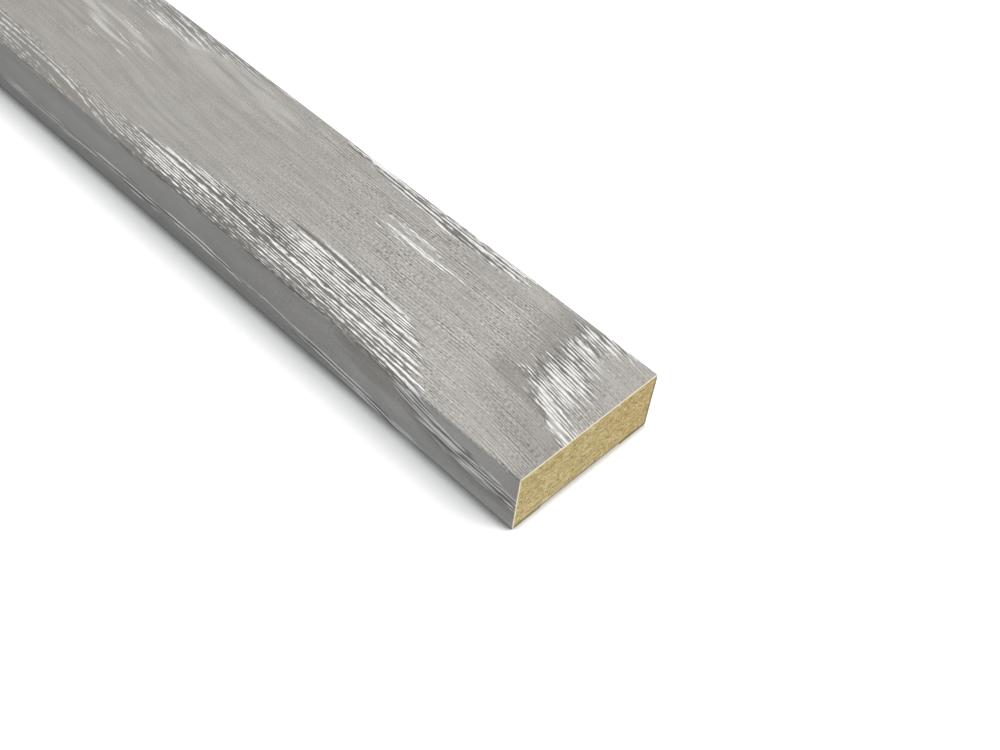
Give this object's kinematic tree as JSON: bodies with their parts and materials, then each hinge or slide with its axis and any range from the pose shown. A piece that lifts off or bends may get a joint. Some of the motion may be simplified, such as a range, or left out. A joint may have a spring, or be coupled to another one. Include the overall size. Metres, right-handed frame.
{
  "type": "wall slat",
  "caption": "Straight rectangular wall slat: fibreboard bar wrapped in a thin limed grey oak decor film that covers face and sides and turns in under the back, sawn square at the ends.",
  "frame": {"origin": "middle of the slat's length and width, on the back plane that lies on the wall or the floor", "axes": "+X along the length, +Y across the width, +Z out of the decor face"},
  "size_m": [2.7, 0.04, 0.016],
  "materials": {
    "fibreboard": "matte",
    "decor": "matte"
  },
  "bodies": {
    "root": {"mdf_core": "fibreboard", "decor_film": "decor"}
  },
  "joints": []
}
